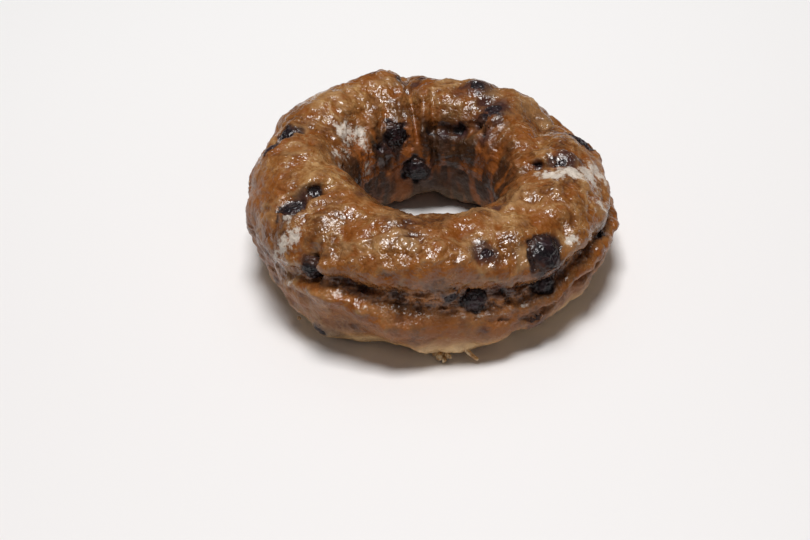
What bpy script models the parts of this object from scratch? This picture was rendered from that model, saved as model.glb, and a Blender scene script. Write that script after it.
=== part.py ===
"""A fried cake ring with blueberries baked into it.

The dough is one solid: a tube of rounded section bent into a ring, with the split that opens
round the outer side of a frying ring, a thinner crease under it, short folds across the top,
and the lumps and hollows of a soft batter. Each whole berry is a solid of its own, seated in
a socket of the dough. The ring rests on its flat foot at Z = 0. Blender's metres, +Z up.

Places on the ring are two angles in degrees: theta runs round the ring (270 faces -Y, 0 faces
+X), and phi runs round the section (0 faces outwards, 90 up, 180 into the hole, 270 down).
"""

import math

import bpy
import numpy as np
from mathutils import Matrix, Vector

MM = 0.001

# The ring as a whole, in millimetres
RING_RADIUS = 31.5  # from the ring's axis to the middle of the tube
HALF_WIDTH = 13.9
HALF_HEIGHT = 15.6
SECTION_ARM = (HALF_WIDTH + HALF_HEIGHT) / 2  # turns an angle round the section into a length
SQUARENESS = 2.25  # 2 is an ellipse
FOOT_SINK = 1.1  # how far the tube settles into its flat foot
CENTRE_SHIFT = (0.37, 0.38)  # brings the box of the whole to the origin

# How the tube wanders round the ring: amounts for cos, sin, cos 2, sin 2 of theta
RADIUS_WANDER = (-0.3, 0.2, -0.3, -0.5)
WIDTH_WANDER = (0.1, -0.3, 0.0, 0.0)
HEIGHT_WANDER = (-1.3, -0.2, 0.0, 0.0)

# The split round the outer side: theta, phi, depth, half width
SPLIT = (
    (5, 10, 2.2, 1.5),
    (35, 17, 2.8, 1.8),
    (65, 9, 2.0, 1.5),
    (92, 16, 3.2, 1.9),
    (122, 9, 2.0, 1.4),
    (150, 13, 2.6, 1.7),
    (172, 4, 0.9, 1.2),
    (190, 8, 0.2, 1.1),
    (218, 12, 0.2, 1.2),
    (226, 18, 1.3, 1.4),
    (231, 22, 2.4, 1.6),
    (242, 25, 3.2, 2.0),
    (252, 19, 3.2, 2.9),
    (262, 18, 3.3, 3.7),
    (270, 16, 3.4, 4.1),
    (278, 15, 3.5, 3.9),
    (286, 11, 3.6, 3.5),
    (295, 8, 3.5, 3.0),
    (303, 8, 3.1, 2.2),
    (314, 16, 2.9, 1.8),
    (328, 20, 2.7, 1.6),
    (345, 12, 2.4, 1.5),
)
SPLIT_BED = 0.55  # the flat part of the split's floor, as a share of its half width
LIP_HEIGHT = 0.75  # how far the dough swells beside a groove
LIP_PLACE = 2.4  # where that swelling lies, in half widths from the groove's middle
LIP_DROOP = 0.8  # how far the upper lip hangs down over the split, in millimetres
DROOP_PLACE = 1.6  # where it hangs most, in half widths above the split's middle
DROOP_DEPTH = 3.5  # the split's depth at which it hangs that far

# The thinner crease that shows under the split on one side
CREASE = (
    (288, -20, 0.0, 0.9),
    (297, -17, 1.3, 1.0),
    (308, -11, 2.2, 1.1),
    (322, -8, 2.4, 1.1),
    (336, -6, 2.0, 1.1),
    (350, -9, 1.6, 1.0),
    (10, -13, 1.2, 1.0),
    (30, -16, 0.0, 0.9),
    (160, -16, 0.0, 0.9),
    (190, -18, 1.0, 1.0),
    (215, -22, 0.8, 1.0),
    (230, -20, 0.0, 0.9),
)

# Short folds: start theta and phi, end theta and phi, depth, half width
FOLD_TAPER = 0.6  # how much shallower a fold is at its ends, as a share of its depth
FOLDS = (
    (96, 52, 95, 150, 2.6, 1.5),
    (84, 100, 82, 185, 1.4, 1.2),
    (352, 70, 350, 122, 2.2, 1.3),
    (213, 104, 208, 52, 2.2, 1.6),
    (229, 44, 230, 20, 2.8, 1.5),
    (163, 88, 166, 52, 2.0, 1.8),
    (32, 60, 20, 96, 1.5, 1.7),
    (125, 150, 112, 118, 1.6, 1.6),
    (64, 140, 48, 122, 1.8, 1.7),
    (88, 139, 62, 137, 1.6, 1.2),
    (262, 108, 236, 100, 0.8, 1.6),
    (140, 40, 118, 62, 1.2, 1.8),
)

# Lumps and dents: theta, phi, reach along the ring, reach round the section, height
LUMPS = (
    (114, 74, 12.0, 9.0, 2.0),
    (76, 117, 5.0, 6.0, 1.6),
    (89, 128, 2.0, 12.0, 1.2),
    (50, 60, 5.0, 6.0, 1.4),
    (33, 52, 6.0, 7.0, -1.5),
    (27, 72, 8.0, 10.0, -3.0),
    (345, 12, 10.0, 8.0, 0.6),
    (325, 60, 11.0, 9.0, 0.7),
    (236, 10, 5.5, 4.5, 1.6),
    (262, 66, 14.0, 8.0, 0.7),
    (190, 75, 9.0, 8.0, 0.7),
    (272, -45, 6.0, 4.5, 0.9),
    (316, -32, 13.0, 6.0, -0.7),
    (88, 234, 18.0, 12.0, 1.0),
    (250, -12, 8.0, 4.5, 0.9),
    (300, -2, 8.0, 3.0, 0.9),
    (222, -30, 7.0, 5.0, 0.8),
    (93, 86, 2.6, 4.5, -2.2),
    (152, 128, 8.0, 6.0, 0.6),
    (20, 140, 8.0, 8.0, 0.6),
    (291, 106, 6.0, 5.0, 0.7),
    (294, -58, 7.0, 6.0, -0.8),
    (235, -56, 6.0, 6.0, 1.2),
    (197, -29, 12.0, 10.0, -1.9),
    (181, 14, 8.0, 12.0, 0.6),
    (0, 40, 8.0, 7.0, -1.2),
    (246, -48, 7.0, 6.0, -1.2),
    (157, 46, 6.0, 8.0, -1.0),
    (102, 66, 4.0, 7.0, 1.0),
    (207, 138, 9.0, 9.0, 1.8),
    (289, 17, 4.0, 3.5, 1.3),
    (344, 4, 3.0, 3.0, 0.9),
)

# The soft unevenness of the batter: size of its lattice, height, seed
SWELLS = ((11.0, 0.9, 3), (5.6, 0.9, 8), (3.6, 0.4, 5))
LATTICE_ORIGIN = 100.0  # keeps the lattice's corners at positive whole numbers
CORNER_STRIDES = (73856093, 19349663, 83492791)
SEED_STRIDE = 2654435761
SCRAMBLES = (2246822519, 3266489917)

# The berries: theta, phi, radius, thickness over width, depth of the middle under the crust
BERRIES = (
    (305, 42, 4.8, 0.60, 1.4),
    (304, 8, 2.9, 0.75, 0.5),
    (281, 13, 3.3, 0.80, 0.6),
    (273, 27, 2.4, 0.80, 0.2),
    (286, 58, 3.6, 0.60, 1.6),
    (210, 65, 4.0, 0.62, 1.2),
    (228.5, 30, 3.1, 0.75, 0.4),
    (334, 22, 3.2, 0.70, 0.8),
    (353, 82, 4.3, 0.60, 1.2),
    (46, 108, 4.4, 0.62, 1.3),
    (64, 86, 4.4, 0.60, 1.5),
    (99, 184, 4.2, 0.70, 1.6),
    (111, 144, 3.8, 0.70, 1.4),
    (163, 76, 3.6, 0.70, 1.0),
    (175, 68, 3.2, 0.70, 1.2),
    (299, -32, 3.4, 0.70, 1.5),
    (231, -40, 3.6, 0.70, 1.7),
    (128, 22, 4.4, 0.65, 1.2),
    (78, 6, 4.1, 0.70, 0.9),
    (16, 42, 4.2, 0.62, 1.4),
    (152, -20, 3.9, 0.65, 1.5),
    (40, -30, 3.7, 0.70, 1.6),
    (196, 186, 3.7, 0.70, 1.6),
    (330, 176, 3.9, 0.65, 1.7),
)
SOCKET_GAP = 0.3
CROWN_DEPTH = 0.5  # the dent at the berry's crown, in millimetres
CROWN_REACH = 0.42  # its radius, as a share of the berry's
NORMAL_STEP = 2.0  # how far apart the skin is read for its direction, in degrees

# Mesh densities
RING_STEPS = 112
SECTION_STEPS = 36
ROW_CROWDING = 0.5  # how much closer the rows lie at the split than elsewhere
BERRY_SEGMENTS = 10
BERRY_RINGS = 7

DOUGH_COLOUR = (0.30, 0.14, 0.05, 1.0)
DOUGH_ROUGHNESS = 0.35
BERRY_COLOUR = (0.035, 0.025, 0.06, 1.0)
BERRY_ROUGHNESS = 0.3


def wander(theta, amounts):
    """The sum of the first two waves round the ring, with the given amounts."""
    turn = np.radians(theta)
    waves = (np.cos(turn), np.sin(turn), np.cos(2 * turn), np.sin(2 * turn))
    return sum(amount * wave for amount, wave in zip(amounts, waves))


def turned(degrees):
    """The same angle, brought between -180 and 180."""
    return (degrees + 180.0) % 360.0 - 180.0


def from_place(theta, phi, place_theta, place_phi):
    """How far a point lies from a place, along the ring and round the section, in millimetres."""
    ring_arm = RING_RADIUS + HALF_WIDTH * math.cos(math.radians(place_phi))
    along = ring_arm * np.radians(turned(theta - place_theta))
    across = SECTION_ARM * np.radians(turned(phi - place_phi))
    return along, across


def path_values(theta, path):
    """Phi, depth and half width of a line round the ring, read between its named points."""
    at = [point[0] for point in path]
    return [np.interp(theta, at, [point[i] for point in path], period=360) for i in (1, 2, 3)]


def skin_rows(theta, row):
    """Phi of the row that keeps its place beside the split, with the rows crowded towards it."""
    level = path_values(theta, SPLIT)[0]
    return level + row - np.degrees(ROW_CROWDING * np.sin(np.radians(row)))


def trench(distance, depth, half_width, bed=0.0, lip=0.0):
    """Depth across a groove: a bed, sides that fall away as a bell, and a lip on either side."""
    beyond = np.maximum(np.abs(distance) - bed * half_width, 0.0)
    hollow = -depth * np.exp(-((beyond / half_width) ** 2))
    swell = lip * np.exp(-((np.abs(distance) / half_width - LIP_PLACE) ** 2))
    return hollow + swell * np.clip(depth, 0, 1)


def lattice_noise(points, seed):
    """Smooth noise from -1 to 1: random values at whole-number corners, eased between them."""
    cell = np.floor(points).astype(np.int64)
    part = points - cell
    ease = part**3 * (part * (part * 6 - 15) + 10)
    total = 0.0
    for corner in np.ndindex(2, 2, 2):
        key = (cell + corner) @ np.array(CORNER_STRIDES) + seed * SEED_STRIDE
        for scramble in SCRAMBLES:
            key = (key ^ (key >> 15)) * scramble % 2**32
        value = (key ^ (key >> 16)) / 2**31 - 1
        weight = np.prod(np.where(np.array(corner) == 1, ease, 1 - ease), axis=-1)
        total = total + value * weight
    return total


def tube_point(theta, phi, outwards):
    """The point at a distance from the middle of the tube, towards phi, in millimetres."""
    turn, tilt = np.radians(theta), np.radians(phi)
    middle = RING_RADIUS + wander(theta, RADIUS_WANDER)
    height = HALF_HEIGHT + wander(theta, HEIGHT_WANDER) - FOOT_SINK
    reach = middle + outwards * np.cos(tilt)
    across = (reach * np.cos(turn), reach * np.sin(turn), height + outwards * np.sin(tilt))
    return np.stack(across, axis=-1)


def along_line(theta, phi, line):
    """Share of the way along a line between two places, and the distance from it."""
    start_theta, start_phi, end_theta, end_phi = line
    along, across = from_place(theta, phi, start_theta, start_phi)
    end_along, end_across = from_place(end_theta, end_phi, start_theta, start_phi)
    share = (along * end_along + across * end_across) / (end_along**2 + end_across**2)
    share = np.clip(share, 0, 1)
    return share, np.hypot(along - share * end_along, across - share * end_across)


def relief(theta, phi):
    """What the split, crease, folds and lumps add to the section's radius, in millimetres."""
    level, depth, half_width = path_values(theta, SPLIT)
    away = SECTION_ARM * np.radians(turned(phi - level))
    total = trench(away, depth, half_width, SPLIT_BED, LIP_HEIGHT)
    level, depth, half_width = path_values(theta, CREASE)
    total += trench(SECTION_ARM * np.radians(turned(phi - level)), depth, half_width)
    for *line, depth, half_width in FOLDS:
        share, away = along_line(theta, phi, line)
        total += trench(away, depth * (1 - FOLD_TAPER * np.abs(2 * share - 1) ** 3), half_width)
    for lump_theta, lump_phi, reach_along, reach_across, height in LUMPS:
        along, across = from_place(theta, phi, lump_theta, lump_phi)
        total += height * np.exp(-((along / reach_along) ** 2) - (across / reach_across) ** 2)
    return total


def lip_droop(theta, phi):
    """How many degrees the dough just over the split hangs down, most where the split is deep."""
    level, depth, half_width = path_values(theta, SPLIT)
    over = SECTION_ARM * np.radians(turned(phi - level)) / half_width - DROOP_PLACE
    return np.degrees(LIP_DROOP * depth / DROOP_DEPTH * np.exp(-(over**2)) / SECTION_ARM)


def dough_surface(theta, phi):
    """Points of the dough's skin for arrays of theta and phi, in millimetres."""
    tilt = np.radians(phi)
    half_width = HALF_WIDTH + wander(theta, WIDTH_WANDER)
    half_height = HALF_HEIGHT + wander(theta, HEIGHT_WANDER)
    outwards = (
        np.abs(np.cos(tilt) / half_width) ** SQUARENESS
        + np.abs(np.sin(tilt) / half_height) ** SQUARENESS
    ) ** (-1 / SQUARENESS)
    plain = tube_point(theta, phi, outwards)
    outwards = outwards + relief(theta, phi)
    for lattice, height, seed in SWELLS:
        outwards = outwards + height * lattice_noise(plain / lattice + LATTICE_ORIGIN, seed)
    points = tube_point(theta, phi - lip_droop(theta, phi), outwards)
    points[..., 2] = np.maximum(points[..., 2], 0.0)
    return points - np.array([*CENTRE_SHIFT, 0.0])


def skin_frame(theta, phi):
    """A point of the skin and the direction that faces out of it there."""
    around = dough_surface(
        theta + NORMAL_STEP * np.array([0, -1, 1, 0, 0]),
        phi + NORMAL_STEP * np.array([0, 0, 0, -1, 1]),
    )
    normal = np.cross(around[2] - around[1], around[4] - around[3])
    return Vector(around[0]), Vector(normal).normalized()


def material(name, colour, roughness):
    """A Principled material of one colour."""
    made = bpy.data.materials.new(name)
    made.use_nodes = True
    shader = made.node_tree.nodes["Principled BSDF"]
    shader.inputs["Base Color"].default_value = colour
    shader.inputs["Roughness"].default_value = roughness
    return made


def new_collection(name):
    """An empty collection of the scene."""
    made = bpy.data.collections.new(name)
    bpy.context.scene.collection.children.link(made)
    return made


def move_to(obj, collection):
    """Takes an object out of its collections and puts it in this one."""
    for holder in list(obj.users_collection):
        holder.objects.unlink(obj)
    collection.objects.link(obj)


def mesh_points(mesh):
    """A mesh's vertices as an array."""
    points = np.empty(len(mesh.vertices) * 3)
    mesh.vertices.foreach_get("co", points)
    return points.reshape(-1, 3)


def make_dough(collection, finish):
    """The ring: a torus whose vertices are carried to the dough's skin."""
    bpy.ops.mesh.primitive_torus_add(
        major_segments=RING_STEPS,
        minor_segments=SECTION_STEPS,
        major_radius=RING_RADIUS * MM,
        minor_radius=HALF_WIDTH * MM,
    )
    dough = bpy.context.object
    dough.name = "dough"
    points = mesh_points(dough.data)
    theta = np.degrees(np.arctan2(points[:, 1], points[:, 0])) % 360
    from_axis = np.hypot(points[:, 0], points[:, 1]) - RING_RADIUS * MM
    row = np.degrees(np.arctan2(points[:, 2], from_axis))
    skin = dough_surface(theta, skin_rows(theta, row)) * MM
    dough.data.vertices.foreach_set("co", skin.ravel())
    dough.data.update()
    dough.data.materials.append(finish)
    dough.data.shade_smooth()
    move_to(dough, collection)
    return dough


def make_berry(name, radius, thickness, collection):
    """A squashed sphere whose pole, the berry's crown, is dented."""
    bpy.ops.mesh.primitive_uv_sphere_add(
        segments=BERRY_SEGMENTS, ring_count=BERRY_RINGS, radius=radius * MM
    )
    berry = bpy.context.object
    berry.name = name
    points = mesh_points(berry.data)
    from_crown = np.hypot(points[:, 0], points[:, 1]) / (CROWN_REACH * radius * MM)
    dent = CROWN_DEPTH * MM * np.exp(-(from_crown**2)) * (points[:, 2] > 0)
    points[:, 2] = points[:, 2] * thickness - dent
    berry.data.vertices.foreach_set("co", points.ravel())
    berry.data.shade_smooth()
    move_to(berry, collection)
    return berry


def seat_berries(dough, collection, cutters, finish):
    """Places each berry in the skin, and cuts a socket for it in the dough."""
    for number, (theta, phi, radius, thickness, sink) in enumerate(BERRIES, 1):
        skin, outwards = skin_frame(theta, phi)
        place = (skin - outwards * sink) * MM
        turn = outwards.to_track_quat("Z", "Y").to_euler()
        berry = make_berry(f"berry_{number:02d}", radius, thickness, collection)
        berry.data.materials.append(finish)
        wider = (radius + SOCKET_GAP) / radius
        thicker = (radius * thickness + SOCKET_GAP) / (radius * thickness)
        cutter = make_berry(f"socket_{number:02d}", radius, thickness, cutters)
        cutter.data.transform(Matrix.Diagonal((wider, wider, thicker, 1)))
        cutter.hide_render = True
        cutter.display_type = "WIRE"
        for piece in (berry, cutter):
            piece.location = place
            piece.rotation_euler = turn
    cut = dough.modifiers.new("sockets", "BOOLEAN")
    cut.operation = "DIFFERENCE"
    cut.operand_type = "COLLECTION"
    cut.collection = cutters


def main():
    for obj in list(bpy.data.objects):
        bpy.data.objects.remove(obj)
    ring = new_collection("blueberry_ring")
    cutters = new_collection("cutters")
    dough = make_dough(ring, material("fried_dough", DOUGH_COLOUR, DOUGH_ROUGHNESS))
    berry_skin = material("berry_skin", BERRY_COLOUR, BERRY_ROUGHNESS)
    seat_berries(dough, ring, cutters, berry_skin)


main()
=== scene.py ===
"""The looks of a glazed blueberry doughnut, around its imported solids. Metres, +Z up."""

import math

import bpy
import numpy as np
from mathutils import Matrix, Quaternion, Vector


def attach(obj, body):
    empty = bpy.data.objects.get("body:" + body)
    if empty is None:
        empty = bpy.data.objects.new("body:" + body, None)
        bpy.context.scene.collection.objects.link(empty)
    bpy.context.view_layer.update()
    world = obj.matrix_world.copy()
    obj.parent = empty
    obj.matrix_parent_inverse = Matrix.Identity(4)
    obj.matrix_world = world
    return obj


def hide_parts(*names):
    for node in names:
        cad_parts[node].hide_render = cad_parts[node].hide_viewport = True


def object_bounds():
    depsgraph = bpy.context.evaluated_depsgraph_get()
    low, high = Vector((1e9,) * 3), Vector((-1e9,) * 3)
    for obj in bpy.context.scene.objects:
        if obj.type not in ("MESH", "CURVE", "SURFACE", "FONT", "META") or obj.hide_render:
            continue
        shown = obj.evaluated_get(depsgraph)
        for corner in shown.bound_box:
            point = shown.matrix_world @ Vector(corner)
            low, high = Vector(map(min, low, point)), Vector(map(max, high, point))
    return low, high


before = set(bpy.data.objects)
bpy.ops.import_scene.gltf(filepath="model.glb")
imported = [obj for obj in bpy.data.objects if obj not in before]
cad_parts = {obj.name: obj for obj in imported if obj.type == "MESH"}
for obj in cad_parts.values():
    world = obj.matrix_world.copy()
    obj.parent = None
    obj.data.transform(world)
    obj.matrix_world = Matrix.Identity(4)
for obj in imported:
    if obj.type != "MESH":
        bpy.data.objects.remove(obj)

cad_low, cad_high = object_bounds()

# The dough
# One ring of cake batter, dropped in hot oil and turned once. It swells until its outer side
# splits, its crust sets in pebbles and folds, and hot sugar glaze runs over it and dries.
# Places are theta round the ring (270 faces -Y) and phi round the section (90 is the top).

MM = 0.001
RING_RADIUS = 31.5  # from the ring's axis to the middle of the tube, in millimetres
HALF_WIDTH = 13.9
HALF_HEIGHT = 15.6
SECTION_ARM = (HALF_WIDTH + HALF_HEIGHT) / 2
SQUARENESS = 2.25  # 2 is an ellipse
FOOT_SINK = 1.1  # how far the tube settles into its flat foot
CENTRE_SHIFT = (0.37, 0.38)  # brings the box of the whole to the origin

# How the tube wanders round the ring: amounts for cos, sin, cos 2, sin 2 of theta
RADIUS_WANDER = (-0.3, 0.2, -0.3, -0.5)
WIDTH_WANDER = (0.1, -0.3, 0.0, 0.0)
HEIGHT_WANDER = (-1.3, -0.2, 0.0, 0.0)

# The split round the outer side: theta, phi, depth, half width
SPLIT = (
    (5, 10, 2.2, 1.5),
    (35, 17, 2.8, 1.8),
    (65, 9, 2.0, 1.5),
    (92, 16, 3.2, 1.9),
    (122, 9, 2.0, 1.4),
    (150, 13, 2.6, 1.7),
    (172, 4, 0.9, 1.2),
    (190, 8, 0.2, 1.1),
    (218, 12, 0.2, 1.2),
    (226, 18, 1.3, 1.4),
    (231, 22, 2.4, 1.6),
    (242, 25, 3.2, 2.0),
    (252, 19, 3.2, 2.9),
    (262, 18, 3.3, 3.7),
    (270, 16, 3.4, 4.1),
    (278, 15, 3.5, 3.9),
    (286, 11, 3.6, 3.5),
    (295, 8, 3.5, 3.0),
    (303, 8, 3.1, 2.2),
    (314, 16, 2.9, 1.8),
    (328, 20, 2.7, 1.6),
    (345, 12, 2.4, 1.5),
)
SPLIT_BED = 0.55  # the flat part of the split's floor, as a share of its half width
LIP_HEIGHT = 0.75  # how far the dough swells beside a groove
LIP_PLACE = 2.4  # where that swelling lies, in half widths from the groove's middle
LIP_DROOP = 0.8  # how far the upper lip hangs down over the split
DROOP_PLACE = 1.6  # where it hangs most, in half widths above the split's middle
DROOP_DEPTH = 3.5  # the split's depth at which it hangs that far

# The thinner crease that shows under the split on one side
CREASE = (
    (288, -20, 0.0, 0.9),
    (297, -17, 1.3, 1.0),
    (308, -11, 2.2, 1.1),
    (322, -8, 2.4, 1.1),
    (336, -6, 2.0, 1.1),
    (350, -9, 1.6, 1.0),
    (10, -13, 1.2, 1.0),
    (30, -16, 0.0, 0.9),
    (160, -16, 0.0, 0.9),
    (190, -18, 1.0, 1.0),
    (215, -22, 0.8, 1.0),
    (230, -20, 0.0, 0.9),
)

FOLD_TAPER = 0.6  # how much shallower a fold is at its ends, as a share of its depth
# Short folds: start theta and phi, end theta and phi, depth, half width
FOLDS = (
    (96, 52, 95, 150, 2.6, 1.5),
    (84, 100, 82, 185, 1.4, 1.2),
    (352, 70, 350, 122, 2.2, 1.3),
    (213, 104, 208, 52, 2.2, 1.6),
    (229, 44, 230, 20, 2.8, 1.5),
    (163, 88, 166, 52, 2.0, 1.8),
    (32, 60, 20, 96, 1.5, 1.7),
    (125, 150, 112, 118, 1.6, 1.6),
    (64, 140, 48, 122, 1.8, 1.7),
    (88, 139, 62, 137, 1.6, 1.2),
    (262, 108, 236, 100, 0.8, 1.6),
    (140, 40, 118, 62, 1.2, 1.8),
)

# Lumps and dents: theta, phi, reach along the ring, reach round the section, height
LUMPS = (
    (114, 74, 12.0, 9.0, 2.0),
    (76, 117, 5.0, 6.0, 1.6),
    (89, 128, 2.0, 12.0, 1.2),
    (50, 60, 5.0, 6.0, 1.4),
    (33, 52, 6.0, 7.0, -1.5),
    (27, 72, 8.0, 10.0, -3.0),
    (345, 12, 10.0, 8.0, 0.6),
    (325, 60, 11.0, 9.0, 0.7),
    (236, 10, 5.5, 4.5, 1.6),
    (262, 66, 14.0, 8.0, 0.7),
    (190, 75, 9.0, 8.0, 0.7),
    (272, -45, 6.0, 4.5, 0.9),
    (316, -32, 13.0, 6.0, -0.7),
    (88, 234, 18.0, 12.0, 1.0),
    (250, -12, 8.0, 4.5, 0.9),
    (300, -2, 8.0, 3.0, 0.9),
    (222, -30, 7.0, 5.0, 0.8),
    (93, 86, 2.6, 4.5, -2.2),
    (152, 128, 8.0, 6.0, 0.6),
    (20, 140, 8.0, 8.0, 0.6),
    (291, 106, 6.0, 5.0, 0.7),
    (294, -58, 7.0, 6.0, -0.8),
    (235, -56, 6.0, 6.0, 1.2),
    (197, -29, 12.0, 10.0, -1.9),
    (181, 14, 8.0, 12.0, 0.6),
    (0, 40, 8.0, 7.0, -1.2),
    (246, -48, 7.0, 6.0, -1.2),
    (157, 46, 6.0, 8.0, -1.0),
    (102, 66, 4.0, 7.0, 1.0),
    (207, 138, 9.0, 9.0, 1.8),
    (289, 17, 4.0, 3.5, 1.3),
    (344, 4, 3.0, 3.0, 0.9),
)

# The soft unevenness of the batter: size of its lattice, height, seed
SWELLS = ((11.0, 0.9, 3), (5.6, 0.9, 8), (3.6, 0.4, 5))
LATTICE_ORIGIN = 100.0  # keeps the lattice's corners at positive whole numbers
CORNER_STRIDES = (73856093, 19349663, 83492791)
SEED_STRIDE = 2654435761
SCRAMBLES = (2246822519, 3266489917)


def wander(theta, amounts):
    """The sum of the first two waves round the ring, with the given amounts."""
    turn = np.radians(theta)
    waves = (np.cos(turn), np.sin(turn), np.cos(2 * turn), np.sin(2 * turn))
    return sum(amount * wave for amount, wave in zip(amounts, waves))


def turned(degrees):
    """The same angle, brought between -180 and 180."""
    return (degrees + 180.0) % 360.0 - 180.0


def from_place(theta, phi, place_theta, place_phi):
    """How far a point lies from a place, along the ring and round the section, in millimetres."""
    ring_arm = RING_RADIUS + HALF_WIDTH * math.cos(math.radians(place_phi))
    along = ring_arm * np.radians(turned(theta - place_theta))
    across = SECTION_ARM * np.radians(turned(phi - place_phi))
    return along, across


def path_values(theta, path):
    """Phi, depth and half width of a line round the ring, read between its named points."""
    at = [point[0] for point in path]
    return [np.interp(theta, at, [point[i] for point in path], period=360) for i in (1, 2, 3)]


def trench(distance, depth, half_width, bed=0.0, lip=0.0):
    """Depth across a groove: a bed, sides that fall away as a bell, and a lip on either side."""
    beyond = np.maximum(np.abs(distance) - bed * half_width, 0.0)
    hollow = -depth * np.exp(-((beyond / half_width) ** 2))
    swell = lip * np.exp(-((np.abs(distance) / half_width - LIP_PLACE) ** 2))
    return hollow + swell * np.clip(depth, 0, 1)


def corner_value(corner, seed):
    """A scrambled value from -1 to 1 for each whole-number corner."""
    key = corner @ np.array(CORNER_STRIDES) + seed * SEED_STRIDE
    for scramble in SCRAMBLES:
        key = (key ^ (key >> 15)) * scramble % 2**32
    return (key ^ (key >> 16)) / 2**31 - 1


def lattice_noise(points, seed):
    """Smooth noise from -1 to 1: random values at whole-number corners, eased between them."""
    cell = np.floor(points).astype(np.int64)
    part = points - cell
    ease = part**3 * (part * (part * 6 - 15) + 10)
    total = 0.0
    for corner in np.ndindex(2, 2, 2):
        weight = np.prod(np.where(np.array(corner) == 1, ease, 1 - ease), axis=-1)
        total = total + corner_value(cell + corner, seed) * weight
    return total


def tube_point(theta, phi, outwards):
    """The point at a distance from the middle of the tube, towards phi, in millimetres."""
    turn, tilt = np.radians(theta), np.radians(phi)
    middle = RING_RADIUS + wander(theta, RADIUS_WANDER)
    height = HALF_HEIGHT + wander(theta, HEIGHT_WANDER) - FOOT_SINK
    reach = middle + outwards * np.cos(tilt)
    across = (reach * np.cos(turn), reach * np.sin(turn), height + outwards * np.sin(tilt))
    return np.stack(across, axis=-1)


def along_line(theta, phi, line):
    """Share of the way along a line between two places, and the distance from it."""
    start_theta, start_phi, end_theta, end_phi = line
    along, across = from_place(theta, phi, start_theta, start_phi)
    end_along, end_across = from_place(end_theta, end_phi, start_theta, start_phi)
    share = (along * end_along + across * end_across) / (end_along**2 + end_across**2)
    share = np.clip(share, 0, 1)
    return share, np.hypot(along - share * end_along, across - share * end_across)


def relief(theta, phi):
    """What the split, crease, folds and lumps add to the section's radius, in millimetres."""
    level, depth, half_width = path_values(theta, SPLIT)
    away = SECTION_ARM * np.radians(turned(phi - level))
    total = trench(away, depth, half_width, SPLIT_BED, LIP_HEIGHT)
    level, depth, half_width = path_values(theta, CREASE)
    total += trench(SECTION_ARM * np.radians(turned(phi - level)), depth, half_width)
    for *line, depth, half_width in FOLDS:
        share, away = along_line(theta, phi, line)
        total += trench(away, depth * (1 - FOLD_TAPER * np.abs(2 * share - 1) ** 3), half_width)
    for lump_theta, lump_phi, reach_along, reach_across, height in LUMPS:
        along, across = from_place(theta, phi, lump_theta, lump_phi)
        total += height * np.exp(-((along / reach_along) ** 2) - (across / reach_across) ** 2)
    return total


def lip_droop(theta, phi):
    """How many degrees the dough just over the split hangs down, most where the split is deep."""
    level, depth, half_width = path_values(theta, SPLIT)
    over = SECTION_ARM * np.radians(turned(phi - level)) / half_width - DROOP_PLACE
    return np.degrees(LIP_DROOP * depth / DROOP_DEPTH * np.exp(-(over**2)) / SECTION_ARM)


def dough_surface(theta, phi):
    """Points of the dough's skin as the solid has it: a rounded section plus its relief."""
    tilt = np.radians(phi)
    half_width = HALF_WIDTH + wander(theta, WIDTH_WANDER)
    half_height = HALF_HEIGHT + wander(theta, HEIGHT_WANDER)
    outwards = (
        np.abs(np.cos(tilt) / half_width) ** SQUARENESS
        + np.abs(np.sin(tilt) / half_height) ** SQUARENESS
    ) ** (-1 / SQUARENESS)
    plain = tube_point(theta, phi, outwards)
    outwards = outwards + relief(theta, phi)
    for lattice, height, seed in SWELLS:
        outwards = outwards + height * lattice_noise(plain / lattice + LATTICE_ORIGIN, seed)
    points = tube_point(theta, phi - lip_droop(theta, phi), outwards)
    points[..., 2] = np.maximum(points[..., 2], 0.0)
    return points - np.array([*CENTRE_SHIFT, 0.0])


# The crust's own relief, laid over that form: pebbles that are domes round scattered points
# (size, height, seed), wrinkles that ridge where noise passes zero (size, height, seed), grit of
# plain noise (size, height, seed), and a net of veins of dried glaze round amber cells
PEBBLES = ((5.2, 0.20, 21), (2.6, 0.14, 22))
WRINKLES = ((3.0, 0.22, 34), (1.8, 0.18, 35), (1.15, 0.14, 36))
GRIT = ((0.9, 0.13, 32), (0.62, 0.07, 33))
VEINS = ((6.5, 1.0, 45), (3.9, 0.7, 46))
VEIN_HEIGHT = 0.18
CRUMB_RELIEF = (1.3, 0.45, 54)  # size, height and seed of the rougher crumb inside the split
WARP = (3.8, 0.9)  # size and reach of the drift that keeps pebbles from looking round
CALM = (15.0, 0.45, 44)  # size of the smoother stretches, how much relief they lose, seed
CRUST_SINK = 0.22  # how far the crust's mean lies inside the plain form

# Small holes in the crust: theta, phi, radius, depth
PITS = (
    (211, 91, 1.3, 1.4),
    (239, 28, 1.5, 0.8),
    (243, 18, 1.2, 0.7),
    (97, 84, 1.2, 1.6),
    (163, 72, 1.2, 1.5),
    (290, 20, 1.3, 1.4),
    (295, 17, 1.1, 1.2),
    (64, 134, 1.0, 1.4),
    (44, 132, 0.9, 1.2),
    (125, 152, 0.9, 1.2),
    (20, 18, 1.2, 1.2),
    (140, 14, 1.2, 1.2),
    (58, -6, 0.9, 1.0),
)

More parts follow.
